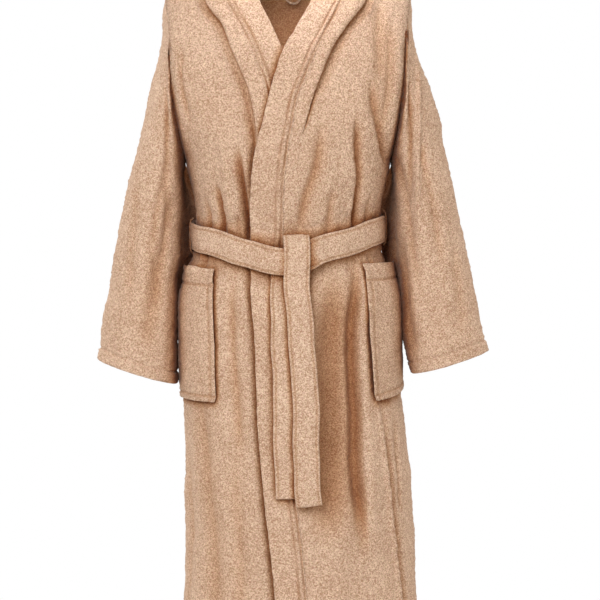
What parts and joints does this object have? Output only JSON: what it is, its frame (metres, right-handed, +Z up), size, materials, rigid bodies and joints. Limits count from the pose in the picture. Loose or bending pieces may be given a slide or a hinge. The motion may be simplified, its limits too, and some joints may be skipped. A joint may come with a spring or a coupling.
{
  "type": "hooded bathrobe",
  "caption": "Long tan terry bathrobe with a dropped hood, folded front bands, patch pockets and a tied belt, filled out as if worn.",
  "frame": {"origin": "between the shoulders, at the height of the neck points, where a wearer carries it", "axes": "+Z up, the front faces -Y, +X towards the wearer's left"},
  "size_m": [0.6233, 0.3501, 1.2006],
  "materials": {
    "terry": "looped cotton terry, matt"
  },
  "bodies": {
    "root": {"back": "terry", "front_left": "terry", "front_right": "terry", "sleeve_left": "terry", "sleeve_right": "terry", "band_left": "terry", "band_right": "terry", "hood_left": "terry", "hood_right": "terry", "hood_band_left": "terry", "hood_band_right": "terry", "pocket_left": "terry", "pocket_right": "terry", "belt_wrap": "terry", "belt_tail_long": "terry", "belt_tail_short": "terry", "belt_loop_left": "terry", "belt_loop_right": "terry", "hanging_loop": "terry"}
  },
  "joints": []
}
